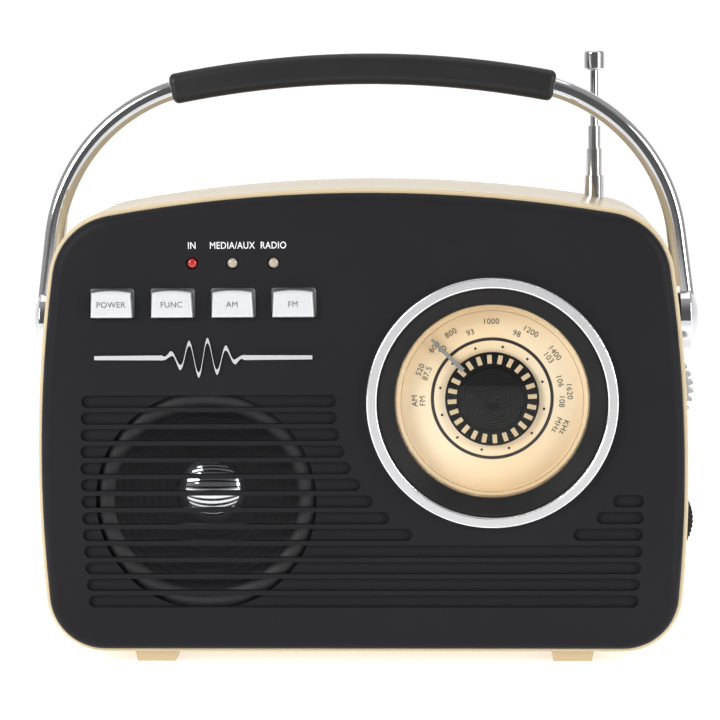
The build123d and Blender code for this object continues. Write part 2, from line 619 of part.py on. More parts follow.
def small_screws():
    """Pan-head screws that hold the speaker and the main board."""
    seat = MAIN_BOARD_Y[1]
    screws = [disc(x, z, 2.2, seat, seat + 1.6) + disc(x, z, BOARD_SCREW_R, -13, seat)
              for x, z in BOARD_POSTS]
    for n in range(4):
        angle = math.radians(45 + n * 90)
        x = SPEAKER_X + 49 * math.cos(angle)
        z = SPEAKER_Z + 49 * math.sin(angle)
        screws.append(disc(x, z, 2.4, -34.0, -32.4) + disc(x, z, 1.3, PLATE_BACK_Y, -34.0))
    return screws


# ---- electronics ----------------------------------------------------------------------
def tuning_capacitor():
    body = block(DIAL_X - CAPACITOR_HALF, DIAL_X + CAPACITOR_HALF, -20.0, MAIN_BOARD_Y[0],
                 DIAL_Z - CAPACITOR_HALF, DIAL_Z + CAPACITOR_HALF)
    return body - disc(DIAL_X, DIAL_Z, SHAFT_R + RUNNING, -21, -8)


def main_board():
    board = block(4, 94, *MAIN_BOARD_Y, 50, 142)
    for x, z in BOARD_POSTS:
        board -= disc(x, z, BOARD_SCREW_R, -7, -4)
    return board


def board_parts():
    """Tall parts soldered to the back of the main board: cans, coils and chips."""
    seat = MAIN_BOARD_Y[1]
    parts = [disc(x, z, 3.2, seat, 6.0) for x, z in ((14, 62), (24, 62), (14, 74))]
    parts += [block(x, x + 7.5, seat, 4.6, z, z + 7.5) for x, z in ((30, 118), (44, 118), (58, 118))]
    parts += [block(x, x + 18, seat, -1.0, z, z + 7) for x, z in ((40, 70), (62, 88), (22, 96))]
    parts += [block(66, 70, seat, 12.0, 58, 80)]
    return parts


def ferrite_rod():
    return rod_x(ROD_R, -ROD_HALF, ROD_HALF, FERRITE_Y, FERRITE_Z)


def aerial_coil():
    coil = rod_x(COIL_R, 22, 46, FERRITE_Y, FERRITE_Z)
    coil += rod_x(COIL_R, -40, -28, FERRITE_Y, FERRITE_Z)
    return (coil - ferrite_rod()).solids()


def ferrite_clips():
    """Two posts on the rear cover that grip the ends of the ferrite rod."""
    clips = []
    for x in (-CLIP_X, CLIP_X):
        clip = block(x - 3, x + 3, FERRITE_Y - 6, FERRITE_Y + 8, FERRITE_Z - 7, FERRITE_Z + 7)
        clip += block(x - 3, x + 3, FERRITE_Y + 8, REAR_INNER_Y, FERRITE_Z - 4, FERRITE_Z + 4)
        clips.append(clip - ferrite_rod())
    return clips


def transformer():
    """Laminated core with a wound bobbin, on a strap that screws to the rear cover."""
    core = block(-104, -68, 8, 24, 92, 122)
    bobbin = block(-96, -76, 3, 29, 97, 117)
    strap = block(-106, -66, 29, 30.5, 96, 118)
    for x in (-105, -68.5):
        strap += block(x, x + 1.5, 24, 29, 96, 118)
    feet_pads = [block(x, x + 5, 30.5, REAR_INNER_Y, 104, 110) for x in (-106, -71)]
    return Part() + [core, bobbin, strap] + feet_pads


def mains_inlet():
    """Two-pin figure-eight inlet: an oval pocket with its pins standing from the floor."""
    shell = slab(Pos(INLET_X, INLET_Z) * SlotOverall(INLET_WIDE + 3, INLET_HIGH + 3), 24, 40)
    shell += slab(Pos(INLET_X, INLET_Z) * SlotOverall(INLET_WIDE, INLET_HIGH), 40, BACK_Y)
    pocket = SlotOverall(INLET_WIDE - 1.6, INLET_HIGH - 1.6)
    shell -= slab(Pos(INLET_X, INLET_Z) * pocket, 27, BACK_Y + 1)
    for x in (-4.0, 4.0):
        shell += disc(INLET_X + x, INLET_Z, 1.2, 20, 36.5)
    return shell


def media_board():
    return block(10, 74, 22.0, MEDIA_BACK_Y, SOCKET_Z - 9, SOCKET_Z + 9)


def usb_socket():
    shell = block(USB_X - 7.2, USB_X + 7.2, MEDIA_BACK_Y, BACK_Y - 0.4,
                  SOCKET_Z - 3.4, SOCKET_Z + 3.4)
    shell -= block(USB_X - 6.6, USB_X + 6.6, 26.0, BACK_Y, SOCKET_Z - 2.8, SOCKET_Z + 2.8)
    return shell + block(USB_X - 5.6, USB_X + 5.6, 26.0, 41.0, SOCKET_Z + 0.2, SOCKET_Z + 2.0)


def card_slot():
    shell = block(CARD_X - 13.2, CARD_X + 13.2, MEDIA_BACK_Y, BACK_Y - 0.8,
                  SOCKET_Z - 1.9, SOCKET_Z + 1.9)
    return shell - block(CARD_X - 12.2, CARD_X + 12.2, 26, BACK_Y, SOCKET_Z - 1.2, SOCKET_Z + 1.2)


def aux_socket():
    body = block(AUX_X - 4.5, AUX_X + 4.5, MEDIA_BACK_Y, REAR_INNER_Y,
                 SOCKET_Z - 4.5, SOCKET_Z + 4.5)
    body += disc(AUX_X, SOCKET_Z, 3.9, REAR_INNER_Y, BACK_Y)
    return body - disc(AUX_X, SOCKET_Z, 1.8, 27, BACK_Y + 1)


# ---- aerial ---------------------------------------------------------------------------
def aerial_sleeve():
    bore = STAGE_R[0] + RUNNING
    tube = rod_z(SLEEVE_R, SLEEVE_FOOT, SLEEVE_TOP, AERIAL_X, AERIAL_Y)
    return tube - rod_z(bore, SLEEVE_FOOT - 1, SLEEVE_TOP + 1, AERIAL_X, AERIAL_Y)


def aerial_bracket():
    """Block on the rear cover that grips the foot of the sleeve."""
    grip = block(AERIAL_X - 6.5, AERIAL_X + 6.5, AERIAL_Y - 6.5, REAR_INNER_Y, 66, 76)
    return grip - rod_z(SLEEVE_R, 60, 80, AERIAL_X, AERIAL_Y)


def aerial_stage(n):
    stage = rod_z(STAGE_R[n], STAGE_FOOT[n], STAGE_TOP[n], AERIAL_X, AERIAL_Y)
    if n + 1 < len(STAGE_R):
        bore = STAGE_R[n + 1] + RUNNING
        stage -= rod_z(bore, STAGE_FOOT[n] - 1, STAGE_TOP[n] + 1, AERIAL_X, AERIAL_Y)
    return stage


def aerial_tip():
    """Innermost rod with the round cap that it is pulled out by."""
    cap = rod_z(TIP_R, STAGE_TOP[-1], STAGE_TOP[-1] + TIP_HIGH, AERIAL_X, AERIAL_Y)
    return fillet(cap.edges().filter_by(GeomType.CIRCLE), 1.0) + aerial_stage(2)


# ---- handle ---------------------------------------------------------------------------
def other_side(point):
    return (-point[0], point[1])


def handle_path():
    """Centre line from one hub over the top to the other, in X and Z."""
    bow_centre = HANDLE_TOP_Z - HANDLE_BOW
    bow = math.radians(BOW_HALF_DEG)
    joint = (HANDLE_BOW * math.sin(bow), bow_centre + HANDLE_BOW * math.cos(bow))
    centre = (joint[0] - SHOULDER_R * math.sin(bow), joint[1] - SHOULDER_R * math.cos(bow))
    lean = math.radians(LEG_DEG)
    middle = (math.radians(90 - BOW_HALF_DEG) + lean) / 2

    def on_shoulder(angle):
        return (centre[0] + SHOULDER_R * math.cos(angle), centre[1] + SHOULDER_R * math.sin(angle))

    leg_top = on_shoulder(lean)
    leg_foot = (leg_top[0] + (leg_top[1] - PIVOT_Z) * math.tan(lean), PIVOT_Z)
    right = [Line(leg_foot, leg_top), ThreePointArc(leg_top, on_shoulder(middle), joint)]
    top = ThreePointArc(joint, (0, HANDLE_TOP_Z), (-joint[0], joint[1]))
    left = [ThreePointArc((-joint[0], joint[1]), other_side(on_shoulder(middle)),
                          other_side(leg_top)), Line(other_side(leg_top), other_side(leg_foot))]
    return Plane.XZ.offset(-PIVOT_Y) * Wire(right + [top] + left)


def handle_hubs():
    """Two barrels on the pivots, each with a domed outer face and a blind bore."""
    bore = SHAFT_R + RUNNING
    rim = HUB_OUT - 3.9
    shoulder = (HUB_R - 0.6, rim + 0.7)
    profile = make_face([
        Polyline((0, HUB_BORE_END), (bore, HUB_BORE_END), (bore, HUB_IN), (HUB_R, HUB_IN), (HUB_R, rim)),
        ThreePointArc((HUB_R, rim), (HUB_R - 0.18, rim + 0.5), shoulder),
        crown(shoulder[0], shoulder[1], HUB_OUT),
        Line((0, HUB_OUT), (0, HUB_BORE_END)),
    ])
    hub = Pos(0, PIVOT_Y, PIVOT_Z) * Rot(0, 0, -90) * revolve(profile, Axis.Y)
    return [hub, mirror(hub, about=Plane.YZ)]


def handle_strap():
    path = handle_path()
    start = Plane(origin=path @ 0, x_dir=(0, 1, 0), z_dir=path % 0)
    strap = sweep(start * RectangleRounded(STRAP_WIDE, STRAP_THICK, STRAP_ROUND), path=path)
    for hub in handle_hubs():
        strap -= hub
    for side in (-1, 1):
        strap -= Pos(side * 110, PIVOT_Y, PIVOT_Z) * Box(2 * (HUB_IN - 110), 30, 2 * 12.4)
        strap -= Pos(side * 119, PIVOT_Y, PIVOT_Z - 3) * Box(30, 30, 24)
    return max(strap.solids(), key=lambda solid: solid.volume)


def handle_grip():
    bow_centre = HANDLE_TOP_Z - HANDLE_BOW
    half = math.asin(GRIP_HALF / HANDLE_BOW)
    end = (HANDLE_BOW * math.sin(half), bow_centre + HANDLE_BOW * math.cos(half))
    arc = ThreePointArc(end, (0, HANDLE_TOP_Z), (-end[0], end[1]))
    path = Plane.XZ.offset(-PIVOT_Y) * Wire([arc])
    start = Plane(origin=path @ 0, x_dir=(0, 1, 0), z_dir=path % 0)
    grip = sweep(start * RectangleRounded(GRIP_WIDE, GRIP_THICK, GRIP_ROUND), path=path)
    ends = grip.faces().sort_by(Axis.X)
    grip = fillet(ends[0].edges() + ends[-1].edges(), GRIP_END)
    return grip - handle_strap()


def handle_plinths():
    """Round pads on the sides of the frame that the hubs turn against."""
    body = slab(outline(FRAME_PROUD), FRAME_FRONT_Y, SPLIT_Y)
    pads = []
    for side in (-1, 1):
        pad = rod_x(PLINTH_R, 112, HUB_IN - 0.2, PIVOT_Y, PIVOT_Z)
        pad -= rod_x(SHAFT_R, 110, 130, PIVOT_Y, PIVOT_Z)
        pad = pad if side > 0 else mirror(pad, about=Plane.YZ)
        pads.append((pad - body).solids()[0])
    return pads


def handle_pivots():
    pins = []
    for side in (-1, 1):
        inner = half_width(PIVOT_Z, FRAME_PROUD - WALL) - 0.3
        pin = rod_x(SHAFT_R, inner - 2, HUB_BORE_END - 0.5, PIVOT_Y, PIVOT_Z)
        pin += rod_x(PIVOT_HEAD_R, inner - 3.5, inner - 1.2, PIVOT_Y, PIVOT_Z)
        pins.append(pin if side > 0 else mirror(pin, about=Plane.YZ))
    return pins


def case_screws():
    seat = COUNTERBORE_Y
    return [disc(x, z, 3.0, seat, seat + 2.2) + disc(x, z, SCREW_R, -19.5, seat)
            for x, z in CASE_POSTS]


# ---- every piece, by the name it is kept under ----------------------------------------
SINGLE = (
    front_panel, cabinet_frame, rear_cover, feet, battery_door, battery_box, battery_cells,
    battery_contacts, case_screws, small_screws, dial_ring, dial_bezel, dial_lens, dial_plate,
    dial_disc, dial_pointer, dial_gear, tuning_wheel, tuning_pin, volume_wheel, volume_shaft,
    volume_control, wheel_bracket, key_board, key_switches, front_ornament, speaker_basket,
    speaker_surround, speaker_cone, speaker_dust_cap, speaker_magnet, tuning_capacitor,
    main_board, board_parts, ferrite_rod, aerial_coil, ferrite_clips, transformer, mains_inlet,
    media_board, usb_socket, card_slot, aux_socket, aerial_sleeve, aerial_bracket, aerial_tip,
    handle_strap, handle_grip, handle_hubs, handle_plinths, handle_pivots,
)
shapes = {make.__name__: make() for make in SINGLE}
shapes["power_lamp"] = lamp(LAMP_X[0])
shapes["mode_lamps"] = [lamp(x) for x in LAMP_X[1:]]
shapes["aerial_lower"] = aerial_stage(0)
shapes["aerial_middle"] = aerial_stage(1)
for number, name in enumerate(KEY_NAMES):
    shapes[name] = key(number)

os.makedirs("parts", exist_ok=True)
for node, shape in shapes.items():
    if isinstance(shape, (list, tuple)):
        shape = Compound(children=[Pos(0, 0, FOOT_DROP) * solid for solid in shape])
    else:
        shape = Pos(0, 0, FOOT_DROP) * shape
    export_step(shape, f"parts/{node}.step")
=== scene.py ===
import math

import bmesh
import bpy
from mathutils import Matrix, Vector


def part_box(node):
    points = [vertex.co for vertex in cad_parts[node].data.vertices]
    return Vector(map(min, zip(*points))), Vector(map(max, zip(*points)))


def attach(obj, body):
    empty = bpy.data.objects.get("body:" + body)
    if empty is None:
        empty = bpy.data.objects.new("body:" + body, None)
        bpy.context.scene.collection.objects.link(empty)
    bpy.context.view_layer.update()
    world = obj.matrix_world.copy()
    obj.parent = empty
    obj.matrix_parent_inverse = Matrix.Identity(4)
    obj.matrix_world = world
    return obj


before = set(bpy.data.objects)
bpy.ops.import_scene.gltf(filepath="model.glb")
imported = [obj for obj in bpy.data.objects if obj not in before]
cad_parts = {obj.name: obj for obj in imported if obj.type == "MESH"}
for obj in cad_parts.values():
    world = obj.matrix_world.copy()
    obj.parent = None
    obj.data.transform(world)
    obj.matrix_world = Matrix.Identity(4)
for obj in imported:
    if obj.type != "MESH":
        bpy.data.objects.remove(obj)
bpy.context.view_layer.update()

# A tabletop radio: black face, cream case, round tuning dial, slotted grille, four push keys,
# two edge wheels, a chrome handle with a black grip and a telescopic aerial.
MM = 0.001


def middle(node):
    """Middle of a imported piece's box."""
    low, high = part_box(node)
    return (low + high) / 2


DIAL = middle("dial_ring")
SPEAKER = middle("speaker_surround")
FACE_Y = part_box("dial_bezel")[0].y + 1.4 * MM
PLATE_FRONT_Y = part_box("dial_plate")[1].y - 1.5 * MM
DISC_FRONT_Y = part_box("dial_disc")[0].y
LAMP_Z = middle("power_lamp").z
CASE_SPLIT_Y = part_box("cabinet_frame")[1].y
PRINT_THICK = 0.06 * MM
RING_MIDDLE, RING_BRUSHED_HALF = 44.28 * MM, 1.42 * MM
WINDOW_LINE = 33.6 * MM


# ---- camera and light -------------------------------------------------------------------
CAMERA_AT = Vector((0.0475, -1.0622, 0.2344))
CAMERA_YAW, CAMERA_PITCH, CAMERA_ROLL = 0.0465, -0.1164, -0.0092
LENS = 140.5
LOOK_AT = (0, 0, 0.1)


def set_camera():
    data = bpy.data.cameras.new("camera")
    data.lens = LENS
    data.sensor_width = 36.0
    data.clip_start, data.clip_end = 0.01, 50.0
    camera = bpy.data.objects.new("camera", data)
    bpy.context.scene.collection.objects.link(camera)
    turn = Matrix.Rotation(CAMERA_YAW, 4, "Z")
    turn @= Matrix.Rotation(math.pi / 2 + CAMERA_PITCH, 4, "X")
    turn @= Matrix.Rotation(CAMERA_ROLL, 4, "Z")
    camera.matrix_world = Matrix.Translation(CAMERA_AT) @ turn
    bpy.context.scene.camera = camera


def soft_light(name, at, aim, size, power):
    """A rectangular softbox that looks from one point at another."""
    data = bpy.data.lights.new(name, "AREA")
    data.shape = "RECTANGLE"
    data.size, data.size_y = size
    data.energy = power
    light = bpy.data.objects.new(name, data)
    bpy.context.scene.collection.objects.link(light)
    look = (Vector(aim) - Vector(at)).to_track_quat("-Z", "Y").to_matrix().to_4x4()
    light.matrix_world = Matrix.Translation(at) @ look


def set_lights():
    soft_light("left_softbox", (-1.0, -1.0, 0.75), LOOK_AT, (0.7, 0.9), 19)
    soft_light("right_softbox", (1.15, -0.75, 0.5), LOOK_AT, (0.5, 0.9), 11)
    soft_light("overhead", (0, 0.1, 1.2), LOOK_AT, (1.0, 0.7), 2.5)


def set_world():
    """White studio air that darkens towards the camera's side."""
    world = bpy.data.worlds.new("studio_air")
    world.use_nodes = True
    air = Nodes(world.node_tree)
    _, depth, _ = air.parts(air.node("TexCoord"))
    strength = air.node("MapRange", {"interpolation_type": "SMOOTHSTEP"}, {
        "Value": depth, "From Min": -0.92, "From Max": -0.35, "To Min": 0.13, "To Max": 0.45})
    back = air.node("Background", None, {"Color": (1.0, 1.0, 1.0, 1.0), "Strength": strength})
    air.node("OutputWorld", None, {"Surface": back})
    bpy.context.scene.world = world
    bpy.context.scene.view_settings.view_transform = "Standard"


# ---- shader maths -----------------------------------------------------------------------
class Level:
    """A number or colour inside a material; arithmetic on it adds Math nodes."""

    def __init__(self, finish, socket):
        self.finish = finish
        self.socket = socket

    def sum(self, operation, *given):
        return self.finish.node("Math", {"operation": operation}, dict(enumerate(given)))

    def __add__(self, other):
        return self.sum("ADD", self, other)

    def __radd__(self, other):
        return self.sum("ADD", other, self)

    def __sub__(self, other):
        return self.sum("SUBTRACT", self, other)

    def __rsub__(self, other):
        return self.sum("SUBTRACT", other, self)

    def __mul__(self, other):
        return self.sum("MULTIPLY", self, other)

    def __rmul__(self, other):
        return self.sum("MULTIPLY", other, self)

    def __truediv__(self, other):
        return self.sum("DIVIDE", self, other)

    def __pow__(self, other):
        return self.sum("POWER", self, other)

    def __abs__(self):
        return self.sum("ABSOLUTE", self)

    def sine(self):
        return self.sum("SINE", self)

    def over(self, edge, soft):
        """0 below an edge and 1 above it, with a soft step of the given width."""
        return self.finish.node("MapRange", {"interpolation_type": "SMOOTHSTEP"}, {
            "Value": self, "From Min": edge - soft / 2, "From Max": edge + soft / 2})


class Nodes:
    """A node tree under construction. node() adds any shader node."""

    def __init__(self, tree):
        self.tree = tree
        self.tree.nodes.clear()

    def node(self, kind, settings=None, sockets=None, out=0):
        made = self.tree.nodes.new("ShaderNode" + kind)
        for name, value in (settings or {}).items():
            setattr(made, name, value)
        for name, value in (sockets or {}).items():
            if isinstance(value, Level):
                self.tree.links.new(value.socket, made.inputs[name])
            else:
                made.inputs[name].default_value = value
        return Level(self, made.outputs[out]) if made.outputs else None

    def parts(self, vector):
        split = self.node("SeparateXYZ", sockets={0: vector})
        return [Level(self, s) for s in split.socket.node.outputs]


class Finish(Nodes):
    """A material, with the patterns and shaders that the finishes share."""

    def __init__(self, name):
        self.material = bpy.data.materials.new(name)
        self.material.use_nodes = True
        super().__init__(self.material.node_tree)

    def place(self):
        """Where a point is on the radio, in metres."""
        return self.node("TexCoord", out=3)

    def polar(self, centre):
        """Radius from a front-to-back axis through a centre, in metres, and the angle round it."""
        x, _, z = self.parts(self.place())
        across, up = x - centre.x, z - centre.z
        radius = (across * across + up * up) ** 0.5
        return radius, across.sum("ARCTAN2", up, across)

    def noise(self, scale, detail=3.0, rough=0.55, at=None):
        return self.node("TexNoise", None, {
            "Vector": at or self.place(), "Scale": scale, "Detail": detail, "Roughness": rough})

    def stretched(self, x, y, z):
        """Object coordinates pulled out along some axes, for brushed and drawn surfaces."""
        return self.node("Mapping", None, {"Vector": self.place(), "Scale": (x, y, z)})

    def blend(self, share, first, second):
        first = first if isinstance(first, Level) else (*first, 1.0)
        second = second if isinstance(second, Level) else (*second, 1.0)
        return self.node("Mix", {"data_type": "RGBA"}, {0: share, 6: first, 7: second}, out=2)

    def bump(self, height, depth, strength=1.0, under=None):
        given = {"Height": height, "Distance": depth, "Strength": strength}
        if under is not None:
            given["Normal"] = under
        return self.node("Bump", None, given)

    def done(self, colour, rough, metal=0.0, normal=None, **fixed):
        """Closes the material with one Principled shader."""
        given = {
            "Base Color": colour if isinstance(colour, Level) else (*colour, 1.0),
            "Roughness": rough,
            "Metallic": metal,
        }
        if normal is not None:
            given["Normal"] = normal
        for name, value in fixed.items():
            given[name.replace("_", " ")] = value
        return self.close(self.node("BsdfPrincipled", None, given))

    def close(self, shader):
        self.node("OutputMaterial", None, {"Surface": shader})
        return self.material


# ---- finishes ---------------------------------------------------------------------------
def soft_touch_black():
    """Satin rubbery paint of the face: very fine grain and a slight unevenness."""
    f = Finish("soft_touch_black")
    cloud = f.noise(14, 4)
    grain = f.noise(5200, 2)
    colour = f.blend(cloud, (0.0115, 0.0115, 0.0130), (0.0155, 0.0155, 0.0175))
    rough = 0.44 + cloud * 0.12
    normal = f.bump(grain, 0.00004, 0.35)
    return f.done(colour, rough, normal=normal, Specular_IOR_Level=0.09)


def glossy_cream():
    """Moulded cream plastic with the thin dark joint line between case front and back."""
    f = Finish("glossy_cream")
    _, y, _ = f.parts(f.place())
    cloud = f.noise(22, 3)
    orange_peel = f.noise(420, 2)
    joint = 1 - abs(y - CASE_SPLIT_Y).over(0.25 * MM, 0.14 * MM)
    tone = f.blend(cloud, (0.590, 0.475, 0.300), (0.640, 0.520, 0.335))
    colour = f.blend(joint, tone, (0.16, 0.11, 0.06))
    rough = 0.20 + cloud * 0.10 + joint * 0.4
    normal = f.bump(orange_peel - joint * 3, 0.00008, 0.4)
    return f.done(colour, rough, normal=normal, Specular_IOR_Level=0.28)


def printed_plate():
    """Scale plate of the dial: pale champagne print with a painted sheen band across it, and
    painted shade that darkens it towards its rim.
    """
    f = Finish("printed_plate")
    radius, angle = f.polar(DIAL)
    # painted shade: the plate's colour darkens towards its rim, under the bezel wall
    rim = radius.over(30.5 * MM, 9 * MM)
    # painted sheen: a lighter band whose place turns with the angle round the dial
    sheen_band = (angle * 2.0 + 0.9).sine() * 0.5 + 0.5
    fine = f.noise(2600, 2)
    base = f.blend(sheen_band, (0.920, 0.720, 0.470), (0.980, 0.830, 0.620))
    colour = f.blend(rim * 0.30, base, (0.720, 0.510, 0.290))
    rough = 0.34 + fine * 0.08
    normal = f.bump(fine, 0.00002, 0.3)
    return f.done(colour, rough, normal=normal)


def polished_chrome():
    f = Finish("polished_chrome")
    smear = f.noise(60, 4)
    hair = f.noise(1800, 2, at=f.stretched(1, 0.06, 1))
    colour = f.blend(smear, (0.60, 0.60, 0.62), (0.69, 0.69, 0.70))
    rough = 0.045 + smear * 0.05 + hair * 0.03
    normal = f.bump(hair, 0.000012, 0.25)
    return f.done(colour, rough, metal=1.0, normal=normal)


def drawn_chrome():
    """Chrome tube of the aerial, with faint drawing marks along it."""
    f = Finish("drawn_chrome")
    hair = f.noise(3200, 2, at=f.stretched(1, 1, 0.02))
    smear = f.noise(90, 3)
    colour = f.blend(smear, (0.56, 0.56, 0.58), (0.66, 0.66, 0.67))
    rough = 0.06 + hair * 0.07 + smear * 0.03
    return f.done(colour, rough, metal=1.0, normal=f.bump(hair, 0.00001, 0.3))


def brushed_ring():
    """Turned ring round the dial: circular brushing between two polished edges, whose brighter base
    colour is a painted highlight.
    """
    f = Finish("brushed_ring")
    radius, angle = f.polar(DIAL)
    turned = f.node("CombineXYZ", None, {0: radius * 5200.0, 1: angle * 22.0, 2: 0.0})
    line = f.noise(1.0, 3, at=turned)
    speck = f.noise(3800, 2)
    # the polished edges: lower roughness, and a brighter base colour that is a painted highlight
    edge = abs(radius - RING_MIDDLE).over(RING_BRUSHED_HALF, 0.22 * MM)
    face = f.blend(line, (0.54, 0.54, 0.55), (0.68, 0.68, 0.69))
    face = f.blend(speck * 0.35, face, (0.90, 0.90, 0.91))
    colour = f.blend(edge, face, (0.93, 0.93, 0.94))
    rough = 0.36 + line * 0.12 - edge * 0.24
    normal = f.bump(line + speck * 0.5, 0.00003, 0.5)
    return f.done(colour, rough, metal=0.92, normal=normal)


def moulded_black():
    """Plain black moulded plastic with a fine grain."""
    f = Finish("moulded_black")
    cloud = f.noise(40, 3)
    grain = f.noise(3600, 2)
    colour = f.blend(cloud, (0.012, 0.012, 0.01296), (0.0192, 0.0192, 0.0204))
    normal = f.bump(grain, 0.00003, 0.4)
    return f.done(colour, 0.38 + cloud * 0.14, normal=normal, Specular_IOR_Level=0.25)


def bezel_black():
    """Sloping black collar inside the ring, with turning lines."""
    f = Finish("bezel_black")
    radius, _ = f.polar(DIAL)
    line = (radius * 9000.0).sine()
    cloud = f.noise(40, 3)
    colour = f.blend(cloud, (0.010, 0.010, 0.011), (0.017, 0.017, 0.018))
    return f.done(colour, 0.34 + cloud * 0.1, normal=f.bump(line, 0.000008, 0.35),
                  Specular_IOR_Level=0.16)


def silver_paint():
    """Silver lacquer on the tuning wheel, with a cloudy tone and a fine flake."""
    f = Finish("silver_paint")
    flake = f.node("TexVoronoi", None, {"Vector": f.place(), "Scale": 5200.0})
    cloud = f.noise(160, 3)
    colour = f.blend(cloud, (0.46, 0.46, 0.47), (0.60, 0.60, 0.61))
    rough = 0.30 + cloud * 0.12
    return f.done(colour, rough, metal=0.75, normal=f.bump(flake, 0.00002, 0.25))


def pearl_key():
    f = Finish("pearl_key")
    flake = f.node("TexVoronoi", None, {"Vector": f.place(), "Scale": 4200.0}, out=0)
    cloud = f.noise(120, 3)
    colour = f.blend(cloud, (0.60, 0.61, 0.63), (0.68, 0.69, 0.71))
    rough = 0.24 + cloud * 0.08
    normal = f.bump(flake, 0.00002, 0.25)
    return f.done(colour, rough, metal=0.25, normal=normal, Coat_Weight=0.3, Coat_Roughness=0.1)


def clear_window():
    """Clear domed window: mostly see-through, with a mirror share that grows at a slant and a
    fine grey line where its inner face meets the rim."""
    f = Finish("clear_window")
    radius, _ = f.polar(DIAL)
    ripple = f.noise(70, 2)
    normal = f.bump(ripple, 0.00003, 0.25)
    gloss = f.node("BsdfGlossy", None, {"Color": (1, 1, 1, 1), "Roughness": 0.03, "Normal": normal})
    clear = f.node("BsdfTransparent", None, {"Color": (0.985, 0.985, 0.975, 1)})
    share = f.node("Fresnel", None, {"IOR": 1.49}) * 0.22
    window = f.node("MixShader", None, {0: share, 1: clear, 2: gloss})
    line = 1 - abs(radius - WINDOW_LINE).over(0.16 * MM, 0.14 * MM)
    edge = f.node("BsdfPrincipled", None, {"Base Color": (0.16, 0.15, 0.14, 1), "Roughness": 0.3})
    return f.close(f.node("MixShader", None, {0: line * 0.32, 1: window, 2: edge}))


def lamp_lens(name, dark, light, glow):
    """Small tinted lamp with a painted glow: its colour is brighter in the middle of its dome,
    where it faces the camera, and darker at its rim.
    """
    f = Finish(name)
    # painted glow: the light colour where the dome faces the camera, the dark colour as painted
    # shade at its slanted rim
    centre_glow = f.node("LayerWeight", None, {"Blend": 0.45}, out=1)
    cloud = f.noise(900, 3)
    colour = f.blend(centre_glow, light, dark)
    rough = 0.12 + cloud * 0.12
    return f.done(colour, rough, normal=f.bump(cloud, 0.00003, 0.3), Coat_Weight=0.6,
                  Subsurface_Weight=glow, Subsurface_Radius=(0.001, 0.0006, 0.0004))


def bright_steel(name="bright_steel", tone=0.55, scale=(1, 1, 1)):
    f = Finish(name)
    hair = f.noise(1500, 3, at=f.stretched(*scale))
    stain = f.noise(70, 4)
    colour = f.blend(stain, (tone, tone, tone * 1.02), (tone * 1.2, tone * 1.2, tone * 1.18))
    rough = 0.22 + hair * 0.16
    return f.done(colour, rough, metal=1.0, normal=f.bump(hair, 0.00002, 0.35))


def cell_sleeve():
    """Printed sleeve of a dry cell: dark body with a copper band at one end."""
    f = Finish("cell_sleeve")
    x, _, _ = f.parts(f.place())
    band = (x * 63.0).sine().over(0.72, 0.05)
    cloud = f.noise(60, 2)
    dark = f.blend(cloud, (0.015, 0.016, 0.020), (0.030, 0.032, 0.038))
    colour = f.blend(band, dark, (0.52, 0.27, 0.09))
    return f.done(colour, 0.28 + cloud * 0.1, metal=0.55)


def pressed_paper():
    """Black speaker cone with pressed ridges round it and paper fibre."""
    f = Finish("pressed_paper")
    radius, _ = f.polar(SPEAKER)
    ridge = (radius * 2600.0).sine() * 0.5 + 0.5
    fibre = f.noise(900, 5, 0.7)
    colour = f.blend(fibre, (0.012, 0.012, 0.013), (0.034, 0.034, 0.036))
    normal = f.bump(ridge, 0.00025, 0.6, f.bump(fibre, 0.00010, 0.6))
    return f.done(colour, 0.62 + fibre * 0.2, normal=normal, Specular_IOR_Level=0.2)


def soft_rubber():
    """Matt black rubber of the speaker's edge."""
    f = Finish("soft_rubber")
    cloud = f.noise(55, 4)
    grain = f.noise(2400, 3)
    colour = f.blend(cloud, (0.014, 0.014, 0.014), (0.0238, 0.0238, 0.0245))
    return f.done(colour, 0.52 + cloud * 0.16, normal=f.bump(grain, 0.00006, 0.5),
                  Sheen_Weight=0.12, Sheen_Roughness=0.4)


def grip_rubber():
    """Smooth satin rubber of the carrying grip."""
    f = Finish("grip_rubber")
    cloud = f.noise(45, 4)
    grain = f.noise(4200, 2)
    colour = f.blend(cloud, (0.0105, 0.0105, 0.0115), (0.0165, 0.0165, 0.0175))
    return f.done(colour, 0.36 + cloud * 0.10, normal=f.bump(grain, 0.00003, 0.4),
                  Specular_IOR_Level=0.28)


def fired_ferrite():
    f = Finish("fired_ferrite")
    cloud = f.noise(90, 5, 0.65)
    pits = f.noise(1400, 4)
    colour = f.blend(cloud, (0.018, 0.017, 0.018), (0.055, 0.052, 0.054))
    return f.done(colour, 0.50 + cloud * 0.25, metal=0.2, normal=f.bump(pits, 0.00012, 0.5))


def circuit_board():
    """Green solder mask over paler copper tracks, with rows of tinned pads."""
    f = Finish("circuit_board")
    x, _, z = f.parts(f.place())
    tracks = (x * 1250.0).sine() * (z * 1250.0).sine()
    wander = f.noise(260, 2)
    track = (tracks + wander * 1.4).over(0.95, 0.15)
    pads = f.node("TexVoronoi", {"feature": "DISTANCE_TO_EDGE"},
                  {"Vector": f.place(), "Scale": 300.0})
    pad = pads.over(0.42, 0.04)
    board = f.blend(track, (0.012, 0.085, 0.030), (0.030, 0.170, 0.065))
    colour = f.blend(pad, board, (0.62, 0.62, 0.60))
    return f.done(colour, 0.34 + wander * 0.1, metal=pad * 0.8, normal=f.bump(track, 0.00006, 0.5))


def natural_nylon():
    f = Finish("natural_nylon")
    cloud = f.noise(80, 3)
    colour = f.blend(cloud, (0.60, 0.57, 0.48), (0.70, 0.67, 0.58))
    return f.done(colour, 0.38 + cloud * 0.12, normal=f.bump(cloud, 0.00005, 0.3),
                  Subsurface_Weight=0.1, Subsurface_Radius=(0.002, 0.0015, 0.001))


